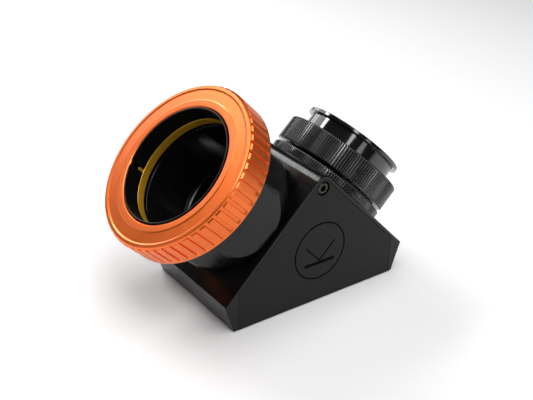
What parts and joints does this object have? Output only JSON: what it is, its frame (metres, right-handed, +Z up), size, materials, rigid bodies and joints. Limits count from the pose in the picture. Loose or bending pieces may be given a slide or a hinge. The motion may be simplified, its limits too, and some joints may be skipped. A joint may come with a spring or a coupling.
{
  "type": "star diagonal",
  "caption": "Two-inch mirror star diagonal: inlaid side plates, twist-lock eyepiece socket with brass ring, flanged barrel with captive knurled coupling ring.",
  "frame": {"origin": "centre of the flat base face behind the mirror", "axes": "+Z up from the base, X along the base with the telescope leg to +X and the eyepiece leg to -X, Y across the body between the side plates"},
  "size_m": [0.1373, 0.0746, 0.0927],
  "materials": {
    "black_anodised": "black anodised, satin",
    "plate_anodised": "dark grey anodised, bead blasted",
    "bright_black_anodised": "black anodised over a bright turned surface",
    "orange_anodised": "orange anodised, satin",
    "brass": "turned",
    "steel": "oiled",
    "mirror_glass": "front-surface dielectric coating on polished glass",
    "nylon": "natural nylon",
    "silicone": "matt"
  },
  "bodies": {
    "diagonal_body": {"housing": "black_anodised", "front_side_plate": "plate_anodised", "rear_side_plate": "plate_anodised", "side_plate_screws": "steel", "back_plate": "black_anodised", "back_plate_screws": "steel", "mirror": "mirror_glass", "mirror_pads": "silicone", "eyepiece_baffle": "black_anodised", "telescope_baffle": "black_anodised", "eyepiece_holder": "black_anodised", "lock_stop_pin": "steel", "collet_sleeve": "black_anodised", "compression_ring": "brass", "adapter_collar": "bright_black_anodised", "collar_grub_screw": "steel", "telescope_barrel": "bright_black_anodised"},
    "lock_slide": {"slip_ring": "nylon"},
    "lock_ring": {"lock_ring": "orange_anodised"},
    "coupling_slide": {"coupling_washer": "nylon"},
    "coupling_ring": {"coupling_ring": "bright_black_anodised"}
  },
  "joints": [
    {"name": "lock_press", "type": "slide", "parent": "diagonal_body", "child": "lock_slide", "axis": [0.7071, 0, -0.7071], "range_m": [0, 0.0008]},
    {"name": "lock_turn", "type": "hinge", "parent": "lock_slide", "child": "lock_ring", "pos_m": [0, 0, 0.014], "axis": [0.7071, 0, -0.7071], "range_deg": [0, 50]},
    {"name": "coupling_travel", "type": "slide", "parent": "diagonal_body", "child": "coupling_slide", "axis": [0.7071, 0, 0.7071], "range_m": [0, 0.0148]},
    {"name": "coupling_turn", "type": "hinge", "parent": "coupling_slide", "child": "coupling_ring", "pos_m": [0, 0, 0.014], "axis": [0.7071, 0, 0.7071], "continuous": true}
  ],
  "couplings": [
    {"joint": "lock_press", "follows": "lock_turn", "m_per_rad": 0.00091673}
  ]
}
